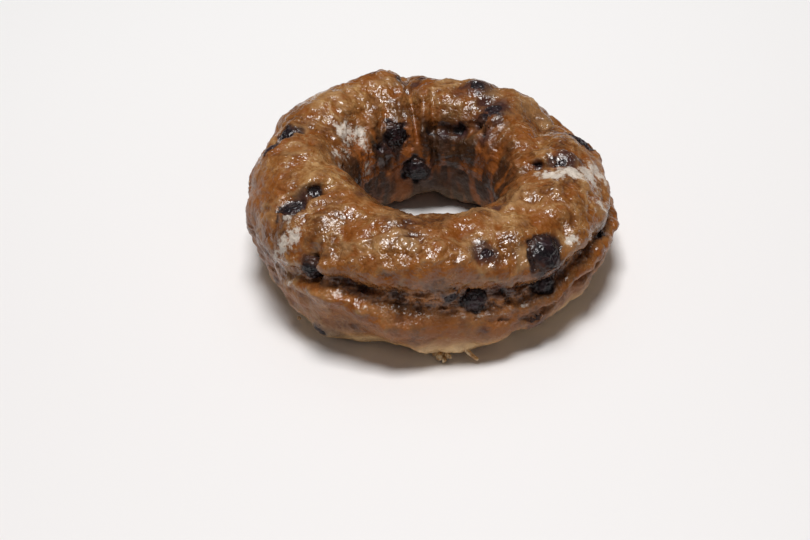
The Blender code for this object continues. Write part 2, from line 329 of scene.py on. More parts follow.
# Thin cracks in the crust: start theta and phi, end theta and phi, depth, half width
CRACKS = (
    (354, 118, 353, 98, 1.5, 0.6),
    (353, 100, 356, 84, 1.0, 0.7),
    (211, 95, 208, 80, 1.4, 0.9),
    (88, 140, 80, 146, 1.4, 0.9),
    (72, 139, 62, 134, 1.2, 0.9),
    (229, 38, 226, 22, 1.2, 0.8),
    (240, 25, 252, 24, 1.0, 0.8),
    (172, 66, 160, 74, 1.0, 0.8),
    (286, 349, 292, 346, 0.8, 0.5),
    (20, 30, 30, 24, 1.0, 0.7),
    (134, 34, 124, 40, 1.0, 0.6),
)

# Runs of glaze that dried as low ridges, milky and partly a painted highlight along the split's
# lower lip: start theta and phi, end theta and phi, height, half width
RUNS = (
    (224, 19, 221, 2, 0.55, 0.5),
    (221, 2, 219, -14, 0.45, 0.5),
    (236, 14, 250, 6, 0.40, 0.5),
    (250, 6, 262, -1, 0.35, 0.5),
    (262, -1, 276, -5, 0.35, 0.5),
    (276, -5, 290, -8, 0.40, 0.5),
    (290, -8, 304, -3, 0.40, 0.5),
    (184, 6, 197, 10, 0.20, 0.8),
    (197, 10, 211, 13, 0.22, 0.8),
    (216, 46, 221, 26, 0.35, 1.0),
    (338, 62, 330, 30, 0.30, 0.8),
    (250, 64, 247, 44, 0.25, 0.6),
    (300, 70, 296, 48, 0.25, 0.6),
    (60, 60, 56, 26, 0.35, 0.7),
    (120, 52, 122, 20, 0.35, 0.7),
    (10, 50, 8, 22, 0.30, 0.7),
    (162, 40, 158, 14, 0.30, 0.7),
)

# Beads of glaze on the crumb of the split and on its edges, milky and partly a painted
# highlight: theta, phi, reach along, reach across, height
BEADS = (
    (240, 20, 1.3, 0.7, 0.9),
    (246, 16, 1.9, 0.7, 1.0),
    (253, 9, 1.0, 0.6, 0.8),
    (256.5, 2, 1.1, 0.8, 0.9),
    (259, 15, 1.3, 0.7, 0.8),
    (265, 24, 2.2, 0.7, 1.0),
    (271.5, 2, 1.7, 0.6, 0.7),
    (275, 10, 1.2, 0.6, 0.7),
    (286.5, -2, 1.2, 1.0, 1.0),
    (291, -4, 1.4, 1.0, 1.0),
    (285, -8, 1.0, 0.5, 0.8),
    (296, 3, 1.1, 0.8, 0.8),
    (301, 12, 1.3, 0.7, 0.8),
    (320, 12, 1.2, 0.9, 0.9),
    (332, 14, 1.2, 0.8, 0.8),
    (14, 14, 1.4, 0.7, 0.8),
    (48, 12, 1.6, 0.7, 0.8),
    (84, 12, 1.4, 0.7, 0.8),
    (106, 14, 1.2, 0.7, 0.8),
    (141, 13, 1.6, 0.8, 0.8),
)

# Where the glaze dried milky: theta, phi, reach along, reach across, strength
MILK = (
    (341, 92, 2.4, 4.6, 1.1),
    (345, 74, 3.0, 5.0, 1.1),
    (350, 55, 4.4, 5.0, 1.1),
    (356, 42, 4.0, 6.0, 0.95),
    (146, 120, 4.2, 3.2, 1.0),
    (138, 130, 3.2, 3.2, 0.9),
    (153, 132, 5.0, 2.4, 0.75),
    (178, 139, 3.0, 5.0, 0.7),
    (168, 128, 3.0, 4.0, 0.8),
    (220, 47, 2.2, 3.2, 1.0),
    (217, 36, 2.0, 4.5, 1.0),
    (214, 20, 2.4, 3.0, 0.8),
    (200, 10, 11.0, 2.4, 0.25),
    (139, 136, 3.0, 6.0, 0.8),
    (143, 166, 2.0, 5.0, 0.7),
    (213, 58, 2.2, 3.0, 0.8),
    (316, 39, 2.6, 1.8, 0.9),
    (337, 34, 1.6, 6.0, 0.9),
    (344, 24, 2.0, 5.0, 0.75),
    (232, 30, 2.4, 2.0, 0.8),
    (350, -8, 16.0, 3.0, 0.45),
    (186, -30, 14.0, 5.0, 0.3),
    (60, 40, 6.0, 5.0, 0.8),
    (115, 34, 7.0, 5.0, 0.7),
    (20, 76, 5.0, 6.0, 0.6),
    (75, -34, 15.0, 4.0, 0.6),
    (130, -30, 12.0, 4.0, 0.5),
)

# Where the glaze is thin and dull: theta, phi, reach along, reach across, strength
DULL = (
    (190, 36, 17.0, 10.0, 1.0),
    (158, 30, 14.0, 8.0, 0.9),
    (6, 24, 14.0, 8.0, 0.8),
)

# Juice that soaked into the crust away from a whole berry: theta, phi, reach, strength
STAINS = (
    (211, 90, 2.2, 0.9),
    (226, 115, 2.2, 0.6),
    (305, 111, 1.8, 0.8),
    (309, 108, 1.4, 0.6),
    (277, 349, 2.6, 0.5),
    (282, 343, 2.2, 0.6),
    (247, 68, 2.4, 0.5),
    (258, 44, 2.4, 0.4),
    (41, 133, 3.2, 0.9),
    (52, 124, 3.2, 0.8),
    (64, 136, 2.6, 0.9),
    (76, 143, 2.2, 0.8),
    (70, 100, 3.5, 0.6),
    (56, 98, 4.0, 0.8),
    (125, 153, 2.0, 0.9),
    (118, 158, 3.2, 0.6),
    (353, 108, 1.8, 0.9),
    (354, 92, 2.2, 0.8),
    (353, 78, 3.6, 0.9),
    (357, 66, 3.0, 0.75),
    (209, 78, 2.6, 0.85),
    (213, 57, 2.4, 0.7),
    (48, 100, 4.4, 0.95),
    (62, 84, 4.4, 0.95),
    (98, 84, 2.2, 1.0),
    (92, 80, 1.8, 0.9),
    (89, 69, 1.8, 0.8),
    (285, 60, 3.4, 0.95),
    (288, 50, 2.8, 0.6),
    (97, 66, 2.0, 0.9),
    (277, -52, 2.4, 0.5),
    (241, 27, 2.2, 0.8),
    (246, 20, 2.6, 0.8),
    (288, 22, 3.4, 0.8),
    (293, 17, 3.0, 0.7),
    (310, 14, 4.0, 0.7),
    (307, 26, 3.0, 0.8),
    (226, 34, 2.6, 0.6),
    (236, 318, 3.4, 0.7),
    (300, 332, 4.0, 0.7),
    (10, -4, 2.4, 0.6),
    (166, 30, 2.6, 0.6),
    (88, -20, 3.0, 0.6),
    (112, 2, 2.6, 0.7),
    (205, -34, 2.6, 0.6),
    (330, -30, 2.4, 0.6),
)

# The berries: theta, phi, radius, thickness over width, depth of the middle under the crust,
# and how far the crust is open over the berry, as a share of its radius
BERRIES = (
    (305, 42, 4.8, 0.60, 1.4, 0.92),
    (304, 8, 2.9, 0.75, 0.5, 0.90),
    (281, 13, 3.3, 0.80, 0.6, 0.80),
    (273, 27, 2.4, 0.80, 0.2, 0.55),
    (286, 58, 3.6, 0.60, 1.6, 0.10),
    (210, 65, 4.0, 0.62, 1.2, 0.85),
    (228.5, 30, 3.1, 0.75, 0.4, 0.85),
    (334, 22, 3.2, 0.70, 0.8, 0.30),
    (353, 82, 4.3, 0.60, 1.2, 0.06),
    (46, 108, 4.4, 0.62, 1.3, 0.34),
    (64, 86, 4.4, 0.60, 1.5, 0.30),
    (99, 184, 4.2, 0.70, 1.6, 0.85),
    (111, 144, 3.8, 0.70, 1.4, 0.80),
    (163, 76, 3.6, 0.70, 1.0, 0.80),
    (175, 68, 3.2, 0.70, 1.2, 0.70),
    (299, -32, 3.4, 0.70, 1.5, 0.40),
    (231, -40, 3.6, 0.70, 1.7, 0.35),
    (128, 22, 4.4, 0.65, 1.2, 0.85),
    (78, 6, 4.1, 0.70, 0.9, 0.85),
    (16, 42, 4.2, 0.62, 1.4, 0.80),
    (152, -20, 3.9, 0.65, 1.5, 0.70),
    (40, -30, 3.7, 0.70, 1.6, 0.75),
    (196, 186, 3.7, 0.70, 1.6, 0.75),
    (330, 176, 3.9, 0.65, 1.7, 0.70),
)
NORMAL_STEP = 2.0  # how far apart the skin is read for its direction, in degrees
FILM = 0.22  # thickness of the crust where it creeps over a berry
CLEARANCE = 0.5  # how far under a bare berry's skin the crust stays
RAGGED = 0.16  # how uneven the crust's edge round a berry is, as a share of the radius
RAGGED_NOISE = (1.6, 51)  # size of that unevenness, in millimetres, and its seed
EDGE_SOFTNESS = 0.14  # over what share of the radius the crust's edge fades
NEARBY = 1.6  # how far from a berry's middle the crust is moved, in radii
FOOTROOM = 0.5  # how far below its middle, in radii
HEADROOM = 1.6  # and how far over its skin, in millimetres
FILM_REACH = (1.6, 2.8)  # from this much rise to this, in millimetres, the film gives up
COLLAR = (0.3, 1.05, 0.22)  # the crust's swelling round a berry: height, place, width
STAIN_REACH = 1.05  # of the juice round a berry, in radii
STAIN_RAGGED = 0.35
RIM_REACH = 0.2  # of the dark rim beyond the opening, in radii

# The hole's streaked wall: millimetres to a degree each way, and size, strength and seed
STREAK_DRAW = (0.32, 0.07)
STREAKS = ((2.6, 0.9, 71), (1.2, 0.5, 72))

RING_STEPS = 476
SECTION_STEPS = 206
FINE_STEPS = 1441  # of the angle while the rows are shared out
# Where the rows lie closer or wider: degrees from the split, reach in degrees, change of density
ROW_DENSITY = ((0, 16, 0.6), (255, 30, -0.72))

CELL_JITTER = 0.45  # how far a scattered point may lie from its cell's middle, in cells
CELL_SEED_STEP = 7  # between the seeds of a scattered point's three coordinates
TOO_FAR = 9.0  # in cells, more than any distance to a nearest point
DOME_CREASE = 0.45  # how wide the creases between the pebbles are, in cells
DRIFT_SEEDS = (41, 42, 43)
VEIN_DRIFT_SEEDS = (47, 48, 49)
VEIN_RIDGE = (0.82, 0.97)  # the ridges of the noise that are veins
VEIN_PATCHES = (8.0, 50)  # size and seed of the stretches with and without veins
VEIN_SHOWS = (0.2, 0.7)


def skin_frame(theta, phi):
    """A point of the skin and the direction that faces out of it there."""
    around = dough_surface(
        theta + NORMAL_STEP * np.array([0, -1, 1, 0, 0]),
        phi + NORMAL_STEP * np.array([0, 0, 0, -1, 1]),
    )
    normal = np.cross(around[2] - around[1], around[4] - around[3])
    return around[0], normal / np.linalg.norm(normal)


def row_angles():
    """Angles of the rows from the split: closest at the split, widest apart on the foot, so
    that each row takes an equal share of a density made of one bell at each of them."""
    angle = np.linspace(0, 360, FINE_STEPS)
    density = 1.0
    for place, reach, change in ROW_DENSITY:
        density = density + change * np.exp(-((turned(angle - place) / reach) ** 2))
    share = np.concatenate([[0], np.cumsum((density[1:] + density[:-1]) / 2)])
    return np.interp(np.arange(SECTION_STEPS) / SECTION_STEPS, share / share[-1], angle)


def near_cells(points, seed):
    """Distances to the nearest and second nearest of points scattered one to a unit cell."""
    cell = np.floor(points).astype(np.int64)
    nearest = np.full(points.shape[:-1], TOO_FAR)
    second = nearest.copy()
    for corner in np.ndindex(3, 3, 3):
        at = cell + corner - 1
        seeds = [seed + CELL_SEED_STEP * axis for axis in range(3)]
        shift = np.stack([CELL_JITTER * corner_value(at, it) for it in seeds], axis=-1)
        away = np.linalg.norm(at + 0.5 + shift - points, axis=-1)
        second = np.minimum(second, np.maximum(nearest, away))
        nearest = np.minimum(nearest, away)
    return nearest, second


def crust_relief(points):
    """Height of the crust over the plain form: domes that fall with the square of the distance
    to their middle and meet in creases, wrinkles that ridge where noise is zero, and grit, all
    less in calm stretches."""
    size, reach = WARP
    drift = [lattice_noise(points / size + LATTICE_ORIGIN, seed) for seed in DRIFT_SEEDS]
    moved = points + reach * np.stack(drift, axis=-1) + LATTICE_ORIGIN
    total = 0.0
    for size, height, seed in PEBBLES:
        nearest, second = near_cells(moved / size, seed)
        dome = np.minimum(second - nearest, DOME_CREASE) / DOME_CREASE - nearest**2
        total = total + height * dome
    for size, height, seed in WRINKLES:
        total = total + height * (1 - 2 * np.abs(lattice_noise(moved / size, seed)))
    for size, height, seed in GRIT:
        total = total + height * lattice_noise(points / size + LATTICE_ORIGIN, seed)
    size, loss, seed = CALM
    calm = 0.5 + 0.5 * lattice_noise(points / size + LATTICE_ORIGIN, seed)
    return total * (1 - loss * calm)


def vein_net(points):
    """Strength from 0 to 1 of the veins: ridges at the zeros of warped noise at two sizes."""
    size, reach = WARP
    drift = [lattice_noise(points / size + LATTICE_ORIGIN, seed) for seed in VEIN_DRIFT_SEEDS]
    moved = points + reach * np.stack(drift, axis=-1)
    total = np.zeros(points.shape[:-1])
    for size, strength, seed in VEINS:
        ridge = 1 - np.abs(lattice_noise(moved / size + LATTICE_ORIGIN, seed))
        total = np.maximum(total, strength * eased(*VEIN_RIDGE, ridge))
    size, seed = VEIN_PATCHES
    patchy = 0.5 + 0.5 * lattice_noise(points / size + LATTICE_ORIGIN, seed)
    return total * eased(*VEIN_SHOWS, patchy)


def grid_normals(points):
    """Unit normals of a closed grid of points, from the differences between its neighbours."""
    along = np.roll(points, -1, axis=0) - np.roll(points, 1, axis=0)
    around = np.roll(points, -1, axis=1) - np.roll(points, 1, axis=1)
    normal = np.cross(along, around)
    return normal / np.maximum(np.linalg.norm(normal, axis=-1, keepdims=True), 1e-9)


def eased(low, high, value):
    """0 below low, 1 above high, and a smooth step between them."""
    share = np.clip((value - low) / (high - low), 0, 1)
    return share * share * (3 - 2 * share)


def around_berries(points):
    """Moves the crust at each berry: down under the bare crown, and up over its shoulders.
    Returns the moved points, the juice stain, a bell round each berry, and the dark rim, a
    narrower bell round each bare crown."""
    stain = np.zeros(points.shape[:-1])
    bare = stain.copy()
    size, seed = RAGGED_NOISE
    ragged = lattice_noise(points / size + LATTICE_ORIGIN, seed)
    for theta, phi, radius, thickness, sink, opening in BERRIES:
        skin, out = skin_frame(theta, phi)
        offset = points - (skin - out * sink)
        height = offset @ out
        away = np.linalg.norm(offset - height[..., None] * out, axis=-1) / radius
        berry = radius * thickness * np.sqrt(np.clip(1 - away**2, 0, 1))
        near = (away < NEARBY) & (height > -FOOTROOM * radius) & (height < berry + HEADROOM)
        open_here = 1 - eased(-EDGE_SOFTNESS, EDGE_SOFTNESS, away + RAGGED * ragged - opening)
        over = np.maximum(berry + FILM - height, 0.0)
        over = over * (1 - eased(*FILM_REACH, over)) * (away < 1)
        under = np.minimum(height, berry - CLEARANCE) - height
        swelling, place, width = COLLAR
        collar = swelling * np.exp(-(((away - place) / width) ** 2))
        move = np.where(near, (over + collar) * (1 - open_here) + under * open_here, 0.0)
        points = points + move[..., None] * out
        spread = away + STAIN_RAGGED * ragged
        reaches = (STAIN_REACH, opening + RIM_REACH)
        juice, rim = [np.exp(-((spread / reach) ** 4)) for reach in reaches]
        stain = np.maximum(stain, np.where(near, juice, 0))
        bare = np.maximum(bare, np.where(near, rim, 0))
    return points, stain, bare


class Wire:
    """A socket of a finish that takes part in arithmetic; each operator adds a Math node."""

    def __init__(self, finish, socket):
        self.finish = finish
        self.socket = socket

    def math(self, operation, *others):
        return self.finish.add("ShaderNodeMath", {"operation": operation}, [self, *others])

    def __add__(self, other):
        return self.math("ADD", other)

    def __sub__(self, other):
        return self.math("SUBTRACT", other)

    def __mul__(self, other):
        return self.math("MULTIPLY", other)

    def __rsub__(self, other):
        return self.finish.add("ShaderNodeMath", {"operation": "SUBTRACT"}, [other, self])

    __radd__ = __add__
    __rmul__ = __mul__

    def step(self, low, high):
        """0 below low, 1 above high, with a smooth rise between."""
        settings = {"interpolation_type": "SMOOTHSTEP"}
        values = {"Value": self, "From Min": low, "From Max": high}
        return self.finish.add("ShaderNodeMapRange", settings, values)


class Finish:
    """A material under construction, whose Principled shader is filled in by name."""

    def __init__(self, name, **constants):
        self.material = bpy.data.materials.new(name)
        self.material.use_nodes = True
        self.tree = self.material.node_tree
        self.shader = self.tree.nodes["Principled BSDF"]
        self.place = self.add("ShaderNodeTexCoord", output="Object")
        self.fill(self.shader, {key.replace("_", " "): it for key, it in constants.items()})

    def fill(self, node, values):
        """Sets or links a node's sockets, by name or by number."""
        pairs = values.items() if isinstance(values, dict) else enumerate(values)
        for key, value in pairs:
            if isinstance(value, Wire):
                self.tree.links.new(value.socket, node.inputs[key])
            else:
                node.inputs[key].default_value = value

    def add(self, kind, settings=(), values=(), output=0):
        """Adds a node: its settings first, then its sockets. Returns one of its outputs."""
        node = self.tree.nodes.new(kind)
        for key, value in dict(settings).items():
            if key == "stops":
                self.set_stops(node.color_ramp, value)
            else:
                setattr(node, key, value)
        self.fill(node, values)
        return Wire(self, node.outputs[output])

    def set_stops(self, ramp, stops):
        """Puts colours on a ramp, from (place, colour) pairs in rising order."""
        while len(ramp.elements) < len(stops):
            ramp.elements.new(0.5)
        for element, (place, colour) in zip(ramp.elements, stops):
            element.position = place
            element.color = colour

    def noise(self, size_mm, detail=2.0, roughness=0.5):
        """Noise from 0 to 1 with the given size."""
        values = {"Vector": self.place, "Scale": 1000 / size_mm}
        values.update({"Detail": detail, "Roughness": roughness})
        return self.add("ShaderNodeTexNoise", {}, values)

    def pebbles(self, size_mm, smoothness=0.5):
        """Distance to the nearest of scattered points, in sizes, with soft creases."""
        values = {"Vector": self.place, "Scale": 1000 / size_mm, "Smoothness": smoothness}
        return self.add("ShaderNodeTexVoronoi", {"feature": "SMOOTH_F1"}, values)

    def threads(self, size_mm):
        """Thin winding lines, from 0 to 1: where noise passes its middle."""
        away = (self.noise(size_mm, 3, 0.6) - 0.5).math("ABSOLUTE")
        return 1 - away.step(0.005, 0.03)

    def attribute(self, name):
        """A value kept at the mesh's points."""
        return self.add("ShaderNodeAttribute", {"attribute_name": name}, output="Fac")

    def mixed(self, share, first, second):
        """One colour fading to another."""
        values = {0: share, 6: first, 7: second}
        return self.add("ShaderNodeMix", {"data_type": "RGBA"}, values, output=2)

    def bump(self, height, depth_mm):
        """A normal from a height between 0 and 1 that stands for so many millimetres."""
        return self.add("ShaderNodeBump", {}, {"Height": height, "Distance": depth_mm * MM})


def tone(red, green, blue):
    """A colour given as it looks on a screen, from 0 to 255, made linear."""
    values = [c / 255 for c in (red, green, blue)]
    return tuple(c / 12.92 if c < 0.04 else ((c + 0.055) / 1.055) ** 2.4 for c in values) + (1.0,)


# The fried crust, from its darkest to its palest: place on the ramp, colour
BROWNING = (
    (0.38, tone(68, 35, 15)),
    (0.45, tone(100, 57, 23)),
    (0.51, tone(123, 76, 34)),
    (0.57, tone(142, 96, 50)),
    (0.64, tone(174, 135, 86)),
)
AMBER_CELL = tone(130, 69, 18)
PAINTED_HOLLOW_SHADE = tone(76, 36, 14)
PALE_VEIN_AND_CREST_LIGHT = tone(182, 142, 96)
DRIED_THREAD = tone(204, 170, 124)
WARM_SIDE = tone(150, 91, 36)
TAN_FOOT = tone(212, 170, 116)
PALE_FOOT = tone(250, 216, 164)
DARK_WALL_AND_SHADE = tone(50, 27, 11)
AMBER_WALL = tone(138, 74, 20)
AMBER_LIP = tone(136, 74, 20)
DARK_CRUMB = tone(76, 45, 27)
PALE_CRUMB = tone(172, 114, 68)
PURPLE_FLESH = tone(50, 30, 34)
BERRY_BLACK_AND_HOLLOW_SHADE = tone(27, 19, 23)
MILKY_GLAZE_AND_GLINT = tone(213, 203, 190)
CRUST_ROUGHNESS = 0.22
CRUST_GRAIN = 0.42  # depth of the finest unevenness, in millimetres


def crust_finish():
    """Fried crust under glaze: dark brown to tan, amber between pale veins and on the lower
    side, with painted shade in its hollows and painted light on its crests, streaked down the
    hole and darkened there partly by painted shade, crumbly and wet in the split, purple where
    juice soaked in, nearly black with painted shade in its cracks and pits, milky where the glaze
    is thick and painted with highlights along the runs and beads, and pale at the foot."""
    finish = Finish("glazed_crust", Coat_Roughness=0.05, Coat_IOR=1.35, IOR=1.5)
    patches = finish.noise(13, 3)
    mottle = finish.noise(3.8, 5, 0.65)
    speck = finish.noise(1.0, 4, 0.65)
    browning = patches * 0.35 + mottle * 0.4 + speck * 0.25
    colour = finish.add("ShaderNodeValToRGB", {"stops": BROWNING}, [browning])
    vein = finish.attribute("vein")
    amber = finish.noise(7.0, 3).step(0.44, 0.6) * (1 - vein)
    colour = finish.mixed(amber * 0.68, colour, AMBER_CELL)
    crest = finish.attribute("crest")
    # Painted shade: the crust's hollows are darkened by their depth
    colour = finish.mixed((1 - crest).step(0.55, 0.95) * 0.55, colour, PAINTED_HOLLOW_SHADE)
    # Pale veins of dried glaze, and painted light that paler the crust's crests a little
    pale = vein * (0.1 + mottle * 0.75) + crest.step(0.6, 1.0) * 0.14
    colour = finish.mixed(pale, colour, PALE_VEIN_AND_CREST_LIGHT)
    thread = finish.threads(3.6) * mottle.step(0.46, 0.6)
    colour = finish.mixed(thread * 0.3, colour, DRIED_THREAD)
    side = finish.attribute("side")
    glow = side * (mottle.step(0.4, 0.58) * 0.5 + 0.2)
    colour = finish.mixed(glow, colour, WARM_SIDE)
    under = finish.attribute("under")
    foot = under * (mottle.step(0.35, 0.6) * 0.4 + 0.5)
    dough = finish.mixed(patches.step(0.4, 0.6), TAN_FOOT, PALE_FOOT)
    colour = finish.mixed(foot, colour, dough)
    streak = finish.attribute("streak")
    # Down the hole the crust is dark between amber streaks: partly dark crust, partly painted shade
    wall = finish.mixed(streak.step(0.3, 0.8), DARK_WALL_AND_SHADE, AMBER_WALL)
    inner = finish.attribute("inner")
    colour = finish.mixed(inner * (0.75 + mottle * 0.3), colour, wall)
    split = finish.attribute("split")
    lip = finish.attribute("lip") * mottle.step(0.4, 0.56)
    colour = finish.mixed(lip * 0.6, colour, AMBER_LIP)
    crumb = finish.mixed(mottle.step(0.4, 0.6), DARK_CRUMB, PALE_CRUMB)
    colour = finish.mixed(split * 0.95, colour, crumb)
    stain = finish.attribute("stain") + (mottle - 0.5) * 0.7 + (speck - 0.5) * 0.3
    colour = finish.mixed(stain.step(0.22, 0.8) * 0.8, colour, PURPLE_FLESH)
    # Bare berries' rims go nearly black, and so does the painted shade in cracks and pits
    bare = finish.attribute("bare") + (mottle - 0.5) * 0.4
    colour = finish.mixed(bare.step(0.25, 0.8) * 0.9, colour, BERRY_BLACK_AND_HOLLOW_SHADE)
    lace = finish.noise(1.6, 6, 0.75)
    milk = finish.attribute("milk") + (lace - 0.5) * 2.4 + (mottle - 0.5) * 0.8
    veil = milk.step(0.5, 0.95)
    # Milky glaze, which along the runs and on the beads is also a painted highlight
    colour = finish.mixed(veil * 0.8, colour, MILKY_GLAZE_AND_GLINT)
    wet = finish.noise(5.5, 3, 0.6).step(0.42, 0.6)
    dull = (1 - split * 0.8) * (1 - inner * 0.7) * (1 - under * 0.6)
    coat = (0.02 + wet * 0.3) * dull * (1 - side)
    rough = CRUST_ROUGHNESS - (wet + split * 0.5) * 0.12 + veil * 0.15
    rough = rough + (inner + side) * 0.28 + (speck - 0.5) * 0.12
    grain = finish.pebbles(1.1, 0.3) * -0.35 + finish.noise(0.55, 1, 0.5) * 0.3
    grain = grain + finish.noise(1.0, 1, 0.5) * 0.55 + thread * 0.15
    normal = finish.bump(grain, CRUST_GRAIN)
    looks = {"Base Color": colour, "Roughness": rough, "Coat Weight": coat, "Normal": normal}
    finish.fill(finish.shader, looks)
    return finish.material


def closed_skin(name, points, caps=None, values=None):
    """A mesh over a grid of points, in millimetres, that closes on itself along its first
    direction. Its second closes too, or else ends in a cap point at each end."""
    steps, rows = points.shape[:2]
    number = np.arange(steps * rows).reshape(steps, rows)
    beside = np.roll(number, -1, axis=0)
    joined = rows if caps is None else rows - 1
    up, beside_up = np.roll(number, -1, axis=1), np.roll(beside, -1, axis=1)
    quads = np.stack([number, beside, beside_up, up], axis=-1)[:, :joined].reshape(-1, 4)
    faces, places = quads.tolist(), points.reshape(-1, 3)
    if caps is not None:
        first, last = len(places), len(places) + 1
        faces += [(first, b, a) for a, b in zip(number[:, 0].tolist(), beside[:, 0].tolist())]
        faces += [(a, b, last) for a, b in zip(number[:, -1].tolist(), beside[:, -1].tolist())]
        places = np.concatenate([places, caps])
    mesh = bpy.data.meshes.new(name)
    mesh.from_pydata((places * MM).tolist(), [], faces)
    for key, numbers in (values or {}).items():
        mesh.attributes.new(key, "FLOAT", "POINT").data.foreach_set("value", numbers.ravel())
    mesh.shade_smooth()
    made = bpy.data.objects.new(name, mesh)
    bpy.context.scene.collection.objects.link(made)
    return made


def bells(theta, phi, places):
    """The highest of a set of bells: theta, phi, reaches along and across, strength."""
    total = np.zeros(theta.shape)
    for at_theta, at_phi, *reach, strength in places:
        along, across = from_place(theta, phi, at_theta, at_phi)
        away = (along / reach[0]) ** 2 + (across / reach[-1]) ** 2
        total = np.maximum(total, strength * np.exp(-away))
    return total


def streaks(theta, phi):
    """Streaks that run down the hole's wall, from 0 to 1: noise drawn out round the section."""
    along, across = theta * STREAK_DRAW[0], turned(phi) * STREAK_DRAW[1]
    level = 0.0
    for size, strength, seed in STREAKS:
        spot = np.stack([along / size, across / size, 0 * theta], axis=-1) + LATTICE_ORIGIN
        level = level + strength * lattice_noise(spot, seed)
    return np.clip(0.5 + 0.5 * level, 0, 1)


RUN_BEADING = (1.3, 0.6, 0.4, 52)  # a run's thickness along it: size, mean, swing, seed
HOLLOW_EDGE = (0.9, 53)  # size and seed of the unevenness of the cracks' and pits' edges
CRACK_RAGGED = 0.5
PIT_RAGGED = 0.6
CRACK_ENDS = (0.15, 0.85)  # a crack is as deep at its ends as it is at these shares
HOLLOW_BLACK = 1.2  # the depth from which the painted shade in a hollow is as dark as it can be
WHOLE_RELIEF = 2.5  # the height above the foot from which the crust is uneven
CRUMB_DEPTH = 3.0  # the split's depth from which all its floor is crumb
CRUMB_REACH = 1.25  # of the crumb from the split's middle, in half widths
LIP_EDGE = 2.1  # where the glaze gathers beside the split, in half widths
CREST_SPAN = 0.9  # the relief between a hollow's painted shade and a crest's painted light
MILKY_RUN = 0.45  # the height at which a run of glaze is milky, its milky tone partly a painted highlight
MILKY_BEAD = 0.5  # how milky a bead is for each millimetre of its height, its milky tone partly a painted highlight
JUICE_AND_HOLLOW_SHADE = 0.8  # how dark the juice is round a berry, and the darkest painted shade in cracks and pits
FOOT_FADES = (2.0, 9.0)  # the heights between which the pale foot fades
SIDE_FADES = (-12, 14)  # the angles between which the dull side fades
WALL_FADES = ((104, 150), (235, 262))  # and those where the hole's wall begins and ends
BOX_MARGIN = 0.01  # how far the crust stays inside the solids' box


def glaze_runs(theta, phi, plain):
    """Height of the runs: a bell across each line, beaded along it by noise."""
    size, mean, swing, seed = RUN_BEADING
    beading = mean + swing * lattice_noise(plain / size + LATTICE_ORIGIN, seed)
    total = np.zeros(theta.shape)
    for *line, height, half_width in RUNS:
        away = along_line(theta, phi, line)[1] / half_width
        total = np.maximum(total, height * beading * np.exp(-(away**2)))
    return total


def hollows(theta, phi, plain):
    """Depth of the cracks, which are bells across a line that fade as a sine towards its ends,
    and of the pits, which are flat bells, all with uneven edges."""
    size, seed = HOLLOW_EDGE
    uneven = lattice_noise(plain / size + LATTICE_ORIGIN, seed)
    total = np.zeros(theta.shape)
    for *line, depth, half_width in CRACKS:
        share, away = along_line(theta, phi, line)
        away = away / half_width + CRACK_RAGGED * uneven
        fade = np.sin(math.pi * np.clip(share, *CRACK_ENDS))
        total = np.maximum(total, depth * fade * np.exp(-(away**2)))
    for pit_theta, pit_phi, radius, depth in PITS:
        along, across = from_place(theta, phi, pit_theta, pit_phi)
        away = np.hypot(along, across) / radius + PIT_RAGGED * uneven
        total = np.maximum(total, depth * np.exp(-(np.maximum(away, 0) ** 3)))
    return total


def make_crust():
    """The dough's skin: the plain form, moved along its normals by the crust's relief, pits
    and glaze runs, then fitted round the berries and kept inside the solids' box."""
    rows = row_angles()
    theta = np.repeat(np.arange(RING_STEPS)[:, None] * 360 / RING_STEPS, SECTION_STEPS, axis=1)
    level, split_depth, split_width = path_values(theta, SPLIT)
    phi = level + rows
    plain = dough_surface(theta, phi)
    normals = grid_normals(plain)
    fine = crust_relief(plain)
    runs = glaze_runs(theta, phi, plain)
    pits = hollows(theta, phi, plain)
    foot = eased(0.0, WHOLE_RELIEF, plain[..., 2])
    away = SECTION_ARM * np.radians(turned(rows[None, :])) / split_width
    deep = np.clip(split_depth / CRUMB_DEPTH, 0, 1)
    inside = deep * np.exp(-((away / CRUMB_REACH) ** 4))
    size, height, seed = CRUMB_RELIEF
    fine = fine + inside * height * lattice_noise(plain / size + LATTICE_ORIGIN, seed)
    vein = vein_net(plain) * foot
    beads = bells(theta, phi, BEADS)
    rise = fine * foot - CRUST_SINK + runs + beads - pits + VEIN_HEIGHT * vein
    points = plain + rise[..., None] * normals
    points, berry_stain, bare = around_berries(points)
    # Painted shade: cracks and pits are darker the deeper they are
    hollow_shade = JUICE_AND_HOLLOW_SHADE * np.clip(pits / HOLLOW_BLACK, 0, 1)
    # Runs and beads are milky, partly thick glaze and partly painted highlight
    thick_glaze_and_glint = np.maximum(runs / MILKY_RUN, beads * MILKY_BEAD)
    begins, ends = [eased(*fade, phi % 360) for fade in WALL_FADES]
    values = {
        "crest": np.clip(0.5 + fine / CREST_SPAN, 0, 1),
        "split": inside,
        "stain": np.maximum(berry_stain * JUICE_AND_HOLLOW_SHADE, bells(theta, phi, STAINS)),
        # bare also carries the painted shade of the cracks and pits
        "bare": np.maximum(bare, hollow_shade),
        "milk": np.maximum(bells(theta, phi, MILK), thick_glaze_and_glint),
        "under": 1 - eased(*FOOT_FADES, plain[..., 2]),
        "side": np.maximum(1 - eased(*SIDE_FADES, turned(phi)), bells(theta, phi, DULL)),
        "vein": vein,
        "lip": deep * np.exp(-((np.abs(away) - LIP_EDGE) ** 2)),
        "inner": begins * (1 - ends),
        "streak": streaks(theta, phi),
    }
    low, high = np.array(cad_low) / MM + BOX_MARGIN, np.array(cad_high) / MM - BOX_MARGIN
    low[2] = 0.0
    return closed_skin("dough_crust", np.clip(points, low, high), values=values)


